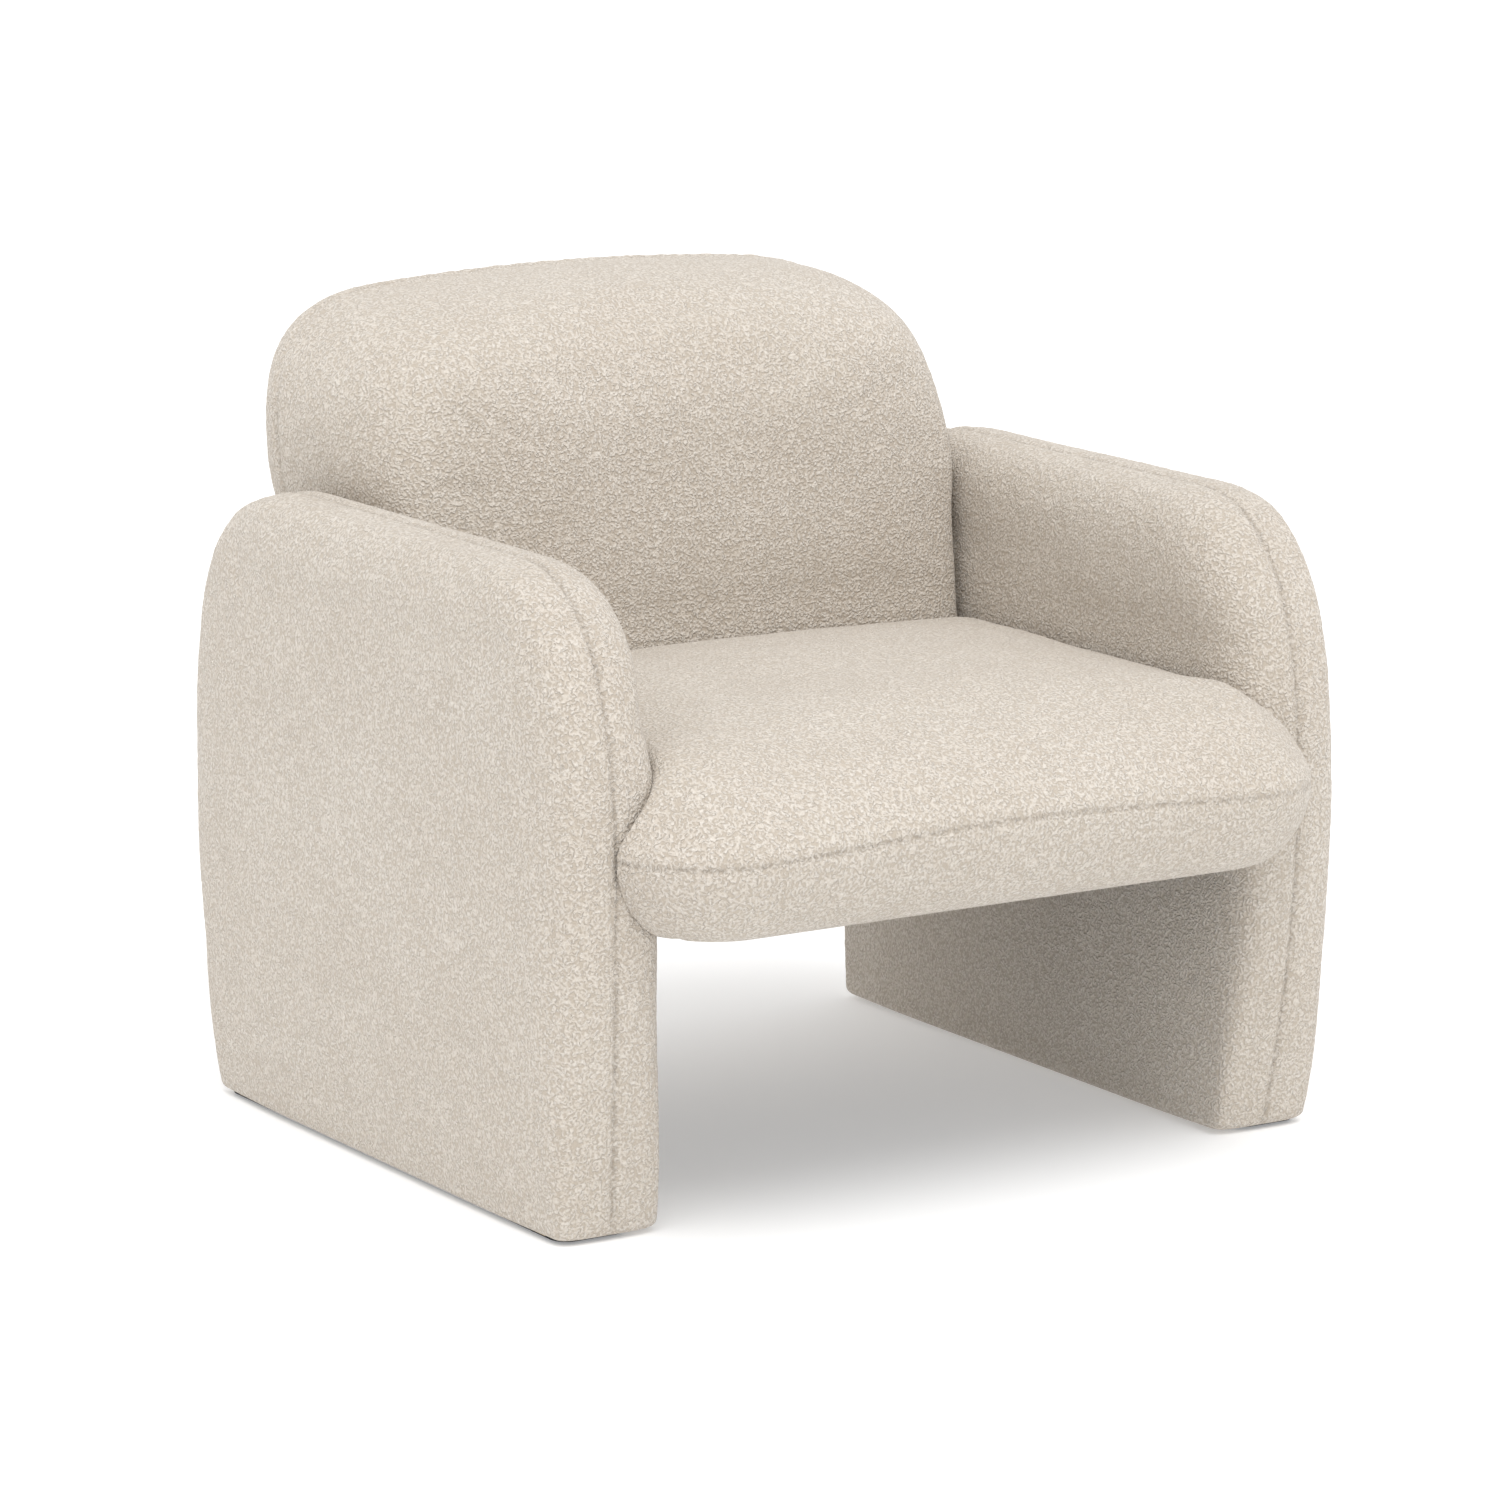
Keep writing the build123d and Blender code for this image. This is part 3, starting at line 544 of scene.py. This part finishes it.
def smoothed(mesh, values, free, rounds):
    """The values averaged over neighbouring vertices, as far as each vertex is free to move."""
    edges = np.empty(len(mesh.edges) * 2, np.int32)
    mesh.edges.foreach_get("vertices", edges)
    start, end = edges[0::2], edges[1::2]
    count = len(mesh.vertices)
    links = np.bincount(start, minlength=count) + np.bincount(end, minlength=count)
    for _ in range(rounds):
        total = np.stack([
            np.bincount(start, column[end], count) + np.bincount(end, column[start], count)
            for column in values.T], 1)
        values = mix(values, total / links[:, None], 0.6 * free[:, None])
    return values


def settle(piece, hold, pressure, cap):
    """Puffs a cover with cloth simulation, held where hold is 1, and applies what it gives."""
    mesh = piece.data
    rest = positions(mesh)
    group = piece.vertex_groups.new(name="hold")
    for level in range(1, 11):
        chosen = np.flatnonzero(np.round(hold * 10) == level)
        group.add(chosen.tolist(), level / 10, "REPLACE")
    cloth = piece.modifiers.new("cloth", "CLOTH")
    settings = cloth.settings
    settings.quality = 4
    settings.mass = 0.25
    settings.tension_stiffness = 25
    settings.compression_stiffness = 25
    settings.shear_stiffness = 12
    settings.bending_stiffness = 2
    settings.use_pressure = True
    settings.uniform_pressure_force = pressure
    settings.vertex_group_mass = group.name
    settings.effector_weights.gravity = 0
    cloth.point_cache.frame_start = 1
    cloth.point_cache.frame_end = SETTLE_FRAMES
    scene = bpy.context.scene
    for number in range(1, SETTLE_FRAMES + 1):
        scene.frame_set(number)
    graph = bpy.context.evaluated_depsgraph_get()
    puffed = positions(piece.evaluated_get(graph).data)
    move = puffed - rest
    length = np.linalg.norm(move, axis=1)
    move *= (cap * np.tanh(length / cap) / np.maximum(length, 1e-9))[:, None]
    piece.modifiers.clear()
    piece.vertex_groups.clear()
    scene.frame_set(1)
    set_positions(mesh, rest + smoothed(mesh, move, 1.0 - hold, 2))


def near_line(points, line, step=0.001):
    """How far each point is from a line, and how far along the line its nearest place is."""
    along = arc_length(line)
    samples = resample(line, int(along[-1] / step))
    tree = kdtree.KDTree(len(samples))
    for index, sample in enumerate(samples):
        tree.insert(sample, index)
    tree.balance()
    found = [tree.find(point) for point in points]
    distance = np.array([hit[2] for hit in found])
    place = np.array([hit[1] for hit in found]) * step
    return distance, place


def noise_at(points, size, seed):
    """Smooth noise, about -1 to 1, with lumps of a size."""
    scaled = points / size + np.array([seed * 7.3, seed * 3.1, seed * 5.7])
    return np.array([noise.noise(Vector(point)) for point in scaled])


def sew(piece, seam, seam_depth, seed):
    """Refines a cover, pulls in its seam and gives the cloth its pile and slow waves."""
    piece.modifiers.new("smooth", "SUBSURF").levels = 1
    apply_modifiers(piece)
    mesh = piece.data
    points = positions(mesh)
    out = normals(mesh)
    distance, place = near_line(points, seam)
    phase = place / SEAM_PUCKER * 2 * math.pi
    wobble = np.sin(phase + 1.7 * np.sin(phase * 0.31 + seed))
    depth = seam_depth * (1.0 + SEAM_DEPTH_VARIES * wobble)
    groove = -depth * np.exp(-((distance / SEAM_WIDTH) ** 2))
    puff = seam_depth * SEAM_PUFF * (1.0 + SEAM_PUFF_VARIES * wobble)
    groove += puff * np.exp(-(((distance - SEAM_PUFF_AT) / SEAM_PUFF_WIDTH) ** 2))
    pile = PILE * noise_at(points, PILE_SIZE, seed)
    pile *= smooth_step(distance, 0.0, 0.004)
    waves = LOOSENESS * noise_at(points, LOOSE_SIZE, seed + 1)
    waves *= smooth_step(distance, 0.0, 0.05)
    foot = points[:, 2].min()
    above = smooth_step(points[:, 2], foot + 0.0005, foot + 0.02)
    shift = (groove + pile + waves) * above
    set_positions(mesh, points + out * shift[:, None])
    # The seam attribute marks where the material paints shade along the seam's groove
    shade = mesh.attributes.new("seam", "FLOAT", "POINT")
    dark = np.exp(-((distance / SEAM_SHADE_WIDTH) ** 2))
    shade.data.foreach_set("value", dark.astype(np.float32))


arm_left, arm_seam = arm_form("arm_left_upholstery")
back, back_seam = back_form("back_upholstery")
seat, seat_seam = seat_form("seat_upholstery")

# The back is softened where its squeezed sides open out above the arms
back_points = positions(back.data)
back_free = smooth_step(back_points[:, 2], BACK_FOOT + 0.01, BACK_FOOT + 0.06)
set_positions(back.data, smoothed(back.data, back_points, back_free, 24))

# The seat is softened where its top turns down beside the arms' front edges
seat_points = positions(seat.data)
seat_free, _ = near_line(seat_points, seat_seam)
seat_free = smooth_step(seat_free, 0.006, 0.030)
seat_free *= smooth_step(seat_points[:, 2], SEAT_BASE + 0.06, SEAT_BASE + 0.09)
set_positions(seat.data, smoothed(seat.data, seat_points, seat_free, 18))


def held_by(piece, seam, contact):
    """1 where the cover is sewn or rests on something, and 0 where it is free to puff."""
    points = positions(piece.data)
    distance, _ = near_line(points, seam)
    return np.maximum(1.0 - smooth_step(distance, *SEAM_HOLD), contact(points))


def arm_contact(points):
    """The foot, and the inner face where the seat and the back press on it."""
    foot = 1.0 - smooth_step(points[:, 2], ARM_FLOOR + 0.004, ARM_FLOOR + 0.06)
    inner = 1.0 - smooth_step(points[:, 0], ARM_INNER + 0.002, ARM_INNER + 0.012)
    pressed = inner * smooth_step(points[:, 2], *PRESS_START)
    beside_seat = 1.0 - smooth_step(points[:, 2], *SEAT_PRESS_END)
    beside_back = smooth_step(points[:, 1], *BACK_PRESS_FRONT)
    return np.maximum(foot, pressed * np.maximum(beside_seat, beside_back))


def back_contact(points):
    """The part between the arms and behind the seat."""
    low = 1.0 - smooth_step(points[:, 2], 0.41, 0.46)
    side = smooth_step(np.abs(points[:, 0]), BACK_HALF - 0.02, BACK_HALF - 0.002)
    return np.maximum(low, side * (1.0 - smooth_step(points[:, 2], *BACK_PRESS_END)))


def seat_contact(points):
    """The bottom, the sides along the arms and the rear."""
    side = np.abs(points[:, 0])
    low = 1.0 - smooth_step(points[:, 2], SEAT_BASE + 0.004, SEAT_BASE + 0.03)
    behind = smooth_step(points[:, 1], back_face(SEAT_FLAT) - 0.06, back_face(SEAT_FLAT) - 0.03)
    beside = smooth_step(side, SEAT_HALF - 0.02, SEAT_HALF - 0.002)
    return np.maximum(np.maximum(low, behind), beside)


settle(arm_left, held_by(arm_left, arm_seam, arm_contact), *ARM_PUFF)
settle(back, held_by(back, back_seam, back_contact), *BACK_PUFF)
settle(seat, held_by(seat, seat_seam, seat_contact), *SEAT_PUFF)
sew(arm_left, arm_seam, ARM_SEAM_DEPTH, 1)
sew(back, back_seam, BACK_SEAM_DEPTH, 2)
sew(seat, seat_seam, SEAT_SEAM_DEPTH, 3)


def mirrored(piece, name):
    """A copy of a piece on the other side of the chair."""
    copy = piece.copy()
    copy.data = piece.data.copy()
    copy.name = copy.data.name = name
    set_positions(copy.data, positions(copy.data) * np.array([-1.0, 1.0, 1.0]))
    copy.data.flip_normals()
    bpy.context.scene.collection.objects.link(copy)
    return copy


arm_right = mirrored(arm_left, "arm_right_upholstery")

# ---------------------------------------------------------------- materials


class Paint:
    """A material under construction: each call adds a node and returns its output."""

    def __init__(self, name):
        self.material = bpy.data.materials.new(name)
        self.material.use_nodes = True
        self.tree = self.material.node_tree
        self.shader = self.tree.nodes["Principled BSDF"]
        coordinates = self.tree.nodes.new("ShaderNodeTexCoord")
        self.place = coordinates.outputs["Object"]

    def add(self, kind, output, links=None, **settings):
        """A node with linked or constant inputs and plain settings."""
        made = self.tree.nodes.new("ShaderNode" + kind)
        for key, value in settings.items():
            setattr(made, key, value)
        for key, value in (links or {}).items():
            if isinstance(value, bpy.types.NodeSocket):
                self.tree.links.new(value, made.inputs[key])
            else:
                made.inputs[key].default_value = value
        return made.outputs[output]

    def math(self, operation, first, second=0.0):
        """One step of arithmetic on two numbers."""
        return self.add("Math", 0, {0: first, 1: second}, operation=operation)

    def stretched(self, x, y, z):
        """The coordinates scaled along each axis."""
        return self.add("Mapping", 0, {"Vector": self.place, "Scale": (x, y, z)})

    def noise(self, scale, detail=2.0, place=None, output="Fac"):
        """Noise of a scale in lumps per metre."""
        links = {"Vector": place or self.place, "Scale": scale, "Detail": detail}
        return self.add("TexNoise", output, links)

    def ramp(self, value, *stops):
        """A colour or grey for a value, through stops of place and colour."""
        output = self.add("ValToRGB", 0, {0: value})
        band = output.node.color_ramp
        for index, (place, colour) in enumerate(stops):
            stop = band.elements[index] if index < 2 else band.elements.new(place)
            stop.position = place
            stop.color = (*colour, 1.0)
        return output

    def blend(self, share, first, second, mode="MIX"):
        """A mix of two colours."""
        made = self.tree.nodes.new("ShaderNodeMix")
        made.data_type = "RGBA"
        made.blend_type = mode
        for key, value in ((0, share), (6, first), (7, second)):
            if isinstance(value, bpy.types.NodeSocket):
                self.tree.links.new(value, made.inputs[key])
            elif key:
                made.inputs[key].default_value = (*value, 1.0)
            else:
                made.inputs[key].default_value = value
        return made.outputs[2]

    def finish(self, colour, roughness, height=None, distance=0.001, strength=1.0, **fixed):
        """Connects colour, roughness and bump, and sets the shader's constant values."""
        self.tree.links.new(colour, self.shader.inputs["Base Color"])
        if isinstance(roughness, bpy.types.NodeSocket):
            self.tree.links.new(roughness, self.shader.inputs["Roughness"])
        else:
            self.shader.inputs["Roughness"].default_value = roughness
        if height is not None:
            bump = self.add(
                "Bump", 0, {"Height": height, "Distance": distance, "Strength": strength})
            self.tree.links.new(bump, self.shader.inputs["Normal"])
        for key, value in fixed.items():
            self.shader.inputs[key.replace("_", " ")].default_value = value
        return self.material


CURL_WARP_SCALE = 220.0    # lumps per metre of the bends in the yarn
CURL_WARP = 0.0032         # how far the yarn bends aside, in metres
CURL_SCALE = 220.0
CURL_TURNS = 3.4           # how many strands lie across one lump
CLUMP_SCALE = 370.0
# Colours of the loops, from painted shade in the gaps between them up their sides to their tips, and of
# the painted shade along the seams
BOUCLE_GAP_SHADE = (0.50, 0.44, 0.37)
BOUCLE_SEAM_SHADE = (0.22, 0.18, 0.14)
BOUCLE_SIDE = (0.64, 0.585, 0.518)
BOUCLE_TOP = (0.705, 0.655, 0.592)
BOUCLE_TIP = (0.75, 0.705, 0.645)


def boucle_material():
    """Cream boucle: short curls of yarn, with painted shade in the gaps between them and along the
    seams.
    """
    paint = Paint("boucle_cream")
    warp = paint.noise(CURL_WARP_SCALE, 1.0, output="Color")
    centred = paint.add("VectorMath", 0, {0: warp, 1: (0.5, 0.5, 0.5)}, operation="SUBTRACT")
    pushed = paint.add("VectorMath", 0, {0: centred, "Scale": CURL_WARP}, operation="SCALE")
    place = paint.add("VectorMath", 0, {0: paint.place, 1: pushed}, operation="ADD")
    field = paint.noise(CURL_SCALE, 0.6, place)
    turns = paint.math("MULTIPLY", field, CURL_TURNS * 2 * math.pi)
    strand = paint.math("MULTIPLY_ADD", paint.math("SINE", turns), 0.5)
    strand.node.inputs[2].default_value = 0.5
    cell = paint.add(
        "TexVoronoi", "Distance",
        {"Vector": place, "Scale": CLUMP_SCALE, "Smoothness": 0.6}, feature="SMOOTH_F1")
    clump = paint.add("MapRange", 0, {
        "Value": cell, "From Min": 0.62, "From Max": 0.12, "To Min": 0.0, "To Max": 1.0})
    fine = paint.noise(1500.0, 1.0)
    clumps, strands = paint.math("MULTIPLY", clump, 0.55), paint.math("MULTIPLY", strand, 0.38)
    height = paint.math("ADD", clumps, strands)
    height = paint.math("ADD", height, paint.math("MULTIPLY", fine, 0.12))
    # Painted shade: the loops darken with height, from their tips down into the gaps between them
    colour = paint.ramp(
        height, (0.18, BOUCLE_GAP_SHADE), (0.52, BOUCLE_SIDE), (0.82, BOUCLE_TOP), (1.0, BOUCLE_TIP))
    patches = paint.ramp(paint.noise(9.0, 3.0), (0.30, (0.965, 0.955, 0.945)), (0.70, (1.0, 1.0, 1.0)))
    colour = paint.blend(1.0, colour, patches, "MULTIPLY")
    # Painted shade along each seam's groove, broken into dashes
    seam = paint.add("Attribute", "Fac", attribute_name="seam")
    seam_shade_dashes = paint.ramp(paint.noise(230.0, 1.0), (0.44, (0.25, 0.25, 0.25)), (0.56, (1, 1, 1)))
    seam_shade_share = paint.math("MULTIPLY", paint.math("MULTIPLY", seam, 0.50), seam_shade_dashes)
    colour = paint.blend(seam_shade_share, colour, BOUCLE_SEAM_SHADE)
    return paint.finish(
        colour, 0.92, height, distance=0.0021, strength=0.85,
        Sheen_Weight=0.22, Sheen_Roughness=0.5, Specular_IOR_Level=0.25)


def wood_material(name, light, dark, grain, rings=24.0):
    """Sawn wood with grain along one axis."""
    paint = Paint(name)
    place = paint.stretched(*grain)
    broad = paint.noise(rings, 4.0, place)
    fine = paint.noise(rings * 14, 3.0, place)
    both = paint.math("ADD", paint.math("MULTIPLY", broad, 0.65), paint.math("MULTIPLY", fine, 0.35))
    colour = paint.ramp(both, (0.32, dark), (0.66, light))
    rough = paint.math("ADD", paint.math("MULTIPLY", fine, 0.25), 0.5)
    return paint.finish(colour, rough, both, distance=0.0006, strength=0.5, Specular_IOR_Level=0.35)


def cloth_material(name, dark, light, threads, rough=0.9):
    """Plain woven or bonded cloth with crossing threads."""
    paint = Paint(name)
    warp = paint.add("TexWave", 0, {"Vector": paint.place, "Scale": threads, "Distortion": 1.5,
                                    "Detail Scale": 3.0}, bands_direction="X")
    weft = paint.add("TexWave", 0, {"Vector": paint.place, "Scale": threads, "Distortion": 1.5,
                                    "Detail Scale": 3.0}, bands_direction="Y")
    fuzz = paint.noise(900.0, 3.0)
    height = paint.math("ADD", paint.math("MULTIPLY", paint.math("MAXIMUM", warp, weft), 0.7),
                        paint.math("MULTIPLY", fuzz, 0.3))
    colour = paint.ramp(height, (0.2, dark), (0.9, light))
    return paint.finish(colour, rough, height, distance=0.0005, strength=0.6, Specular_IOR_Level=0.2)


def metal_material(name, dark, light, streaks, rough_low, rough_high):
    """Plated or drawn steel with fine streaks and stains."""
    paint = Paint(name)
    streak = paint.noise(streaks, 4.0, paint.stretched(1.0, 6.0, 6.0))
    stain = paint.noise(60.0, 4.0)
    both = paint.math("ADD", paint.math("MULTIPLY", streak, 0.5), paint.math("MULTIPLY", stain, 0.5))
    colour = paint.ramp(both, (0.3, dark), (0.7, light))
    rough = paint.add("MapRange", 0, {"Value": both, "To Min": rough_low, "To Max": rough_high})
    return paint.finish(colour, rough, streak, distance=0.0002, strength=0.3, Metallic=1.0)


def plastic_material(name, dark, light):
    """Moulded plastic with a fine grain and scuffs."""
    paint = Paint(name)
    grain = paint.noise(1600.0, 2.0)
    scuff = paint.noise(140.0, 5.0)
    colour = paint.ramp(scuff, (0.35, dark), (0.75, light))
    rough = paint.math("ADD", paint.math("MULTIPLY", scuff, 0.3), 0.3)
    return paint.finish(colour, rough, grain, distance=0.0002, strength=0.4, Specular_IOR_Level=0.5)


def felt_material(name, dark, light):
    """Needled felt: matted fibres with pale and dark flecks."""
    paint = Paint(name)
    fibres = paint.noise(420.0, 6.0)
    flecks = paint.add("TexVoronoi", "Distance", {"Vector": paint.place, "Scale": 260.0})
    both = paint.math("ADD", paint.math("MULTIPLY", fibres, 0.6), paint.math("MULTIPLY", flecks, 0.4))
    colour = paint.ramp(both, (0.3, dark), (0.6, light))
    return paint.finish(colour, 0.95, fibres, distance=0.0012, strength=0.8, Specular_IOR_Level=0.15)


boucle = boucle_material()
finishes = {
    "softwood": wood_material("softwood_pine", (0.66, 0.47, 0.27), (0.44, 0.27, 0.13), (3, 3, 1)),
    "hardwood": wood_material("hardwood_beech", (0.55, 0.36, 0.21), (0.36, 0.21, 0.11), (2, 1, 3)),
    "plywood": wood_material("plywood_birch", (0.66, 0.52, 0.34), (0.50, 0.36, 0.21), (40, 1, 3)),
    "webbing": cloth_material("webbing_black", (0.02, 0.02, 0.022), (0.07, 0.07, 0.075), 95.0),
    "black_cloth": cloth_material("cloth_black", (0.008, 0.008, 0.009), (0.03, 0.03, 0.032), 160.0),
    "felt": felt_material("felt_grey", (0.10, 0.095, 0.09), (0.30, 0.29, 0.28)),
    "foam": felt_material("foam_cream", (0.62, 0.55, 0.38), (0.84, 0.78, 0.60)),
    "wadding": felt_material("wadding_white", (0.70, 0.70, 0.69), (0.88, 0.88, 0.87)),
    "spring_steel": metal_material(
        "steel_drawn", (0.20, 0.19, 0.18), (0.42, 0.41, 0.40), 90.0, 0.25, 0.5),
    "zinc_steel": metal_material("steel_zinc", (0.50, 0.51, 0.52), (0.74, 0.75, 0.76), 40.0, 0.2, 0.42),
    "glide_plastic": plastic_material("glide_brown", (0.022, 0.017, 0.014), (0.05, 0.04, 0.034)),
    "boucle": boucle,
}
for piece in nodes.values():
    for slot_number, old in enumerate(piece.data.materials):
        finish_name = old.name.split(".")[0]
        piece.data.materials[slot_number] = finishes[finish_name]

for piece in (arm_left, arm_right, back, seat):
    piece.data.materials.append(boucle)
    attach(piece, "root")

for piece, side in ((arm_left, "left"), (arm_right, "right")):
    names = ("outer_cover", "inner_cover", "outer_foam", "inner_foam", "edge_foam")
    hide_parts(*[f"{side}_arm_{part}" for part in names])
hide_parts("back_front_cover", "back_rear_cover", "back_front_foam", "back_rear_foam")
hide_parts("seat_top_cover", "seat_bottom_cover", "seat_foam", "seat_wadding")

# ---------------------------------------------------------------- floor, light and camera

floor_mesh = bpy.data.meshes.new("floor")
floor_mesh.from_pydata([(-20, -20, 0), (20, -20, 0), (20, 20, 0), (-20, 20, 0)], [], [(0, 1, 2, 3)])
floor = bpy.data.objects.new("floor", floor_mesh)
bpy.context.scene.collection.objects.link(floor)
floor_paint = bpy.data.materials.new("floor_paint")
floor_paint.use_nodes = True
floor_shader = floor_paint.node_tree.nodes["Principled BSDF"]
floor_shader.inputs["Base Color"].default_value = (0.78, 0.78, 0.78, 1.0)
floor_shader.inputs["Roughness"].default_value = 0.9
floor_shader.inputs["Emission Color"].default_value = (1.0, 1.0, 1.0, 1.0)
floor_shader.inputs["Emission Strength"].default_value = 0.27
floor_mesh.materials.append(floor_paint)

world = bpy.data.worlds.new("studio")
world.use_nodes = True
world.node_tree.nodes["Background"].inputs["Color"].default_value = (1.0, 1.0, 1.0, 1.0)
world.node_tree.nodes["Background"].inputs["Strength"].default_value = 0.98
bpy.context.scene.world = world

sun_data = bpy.data.lights.new("key", "SUN")
sun_data.energy = 1.5
sun_data.angle = math.radians(40)
sun = bpy.data.objects.new("key", sun_data)
sun.rotation_euler = Vector((0.13, 0.38, -1.0)).to_track_quat("-Z", "Y").to_euler()
bpy.context.scene.collection.objects.link(sun)
bpy.context.scene.view_settings.view_transform = "Standard"

CAMERA_AZIMUTH = math.radians(-32.0)
CAMERA_ELEVATION = math.radians(11.7)
CAMERA_DISTANCE = 5.829
CAMERA_TARGET = Vector((0.048, 0.1095, 0.303))
camera_data = bpy.data.cameras.new("camera")
camera_data.lens = 156.0
camera_data.sensor_width = 36.0
camera = bpy.data.objects.new("camera", camera_data)
bpy.context.scene.collection.objects.link(camera)
level = math.cos(CAMERA_ELEVATION)
towards = Vector((
    math.sin(CAMERA_AZIMUTH) * level,
    -math.cos(CAMERA_AZIMUTH) * level,
    math.sin(CAMERA_ELEVATION)))
camera.location = CAMERA_TARGET + towards * CAMERA_DISTANCE
camera.rotation_euler = towards.to_track_quat("Z", "Y").to_euler()
bpy.context.scene.camera = camera
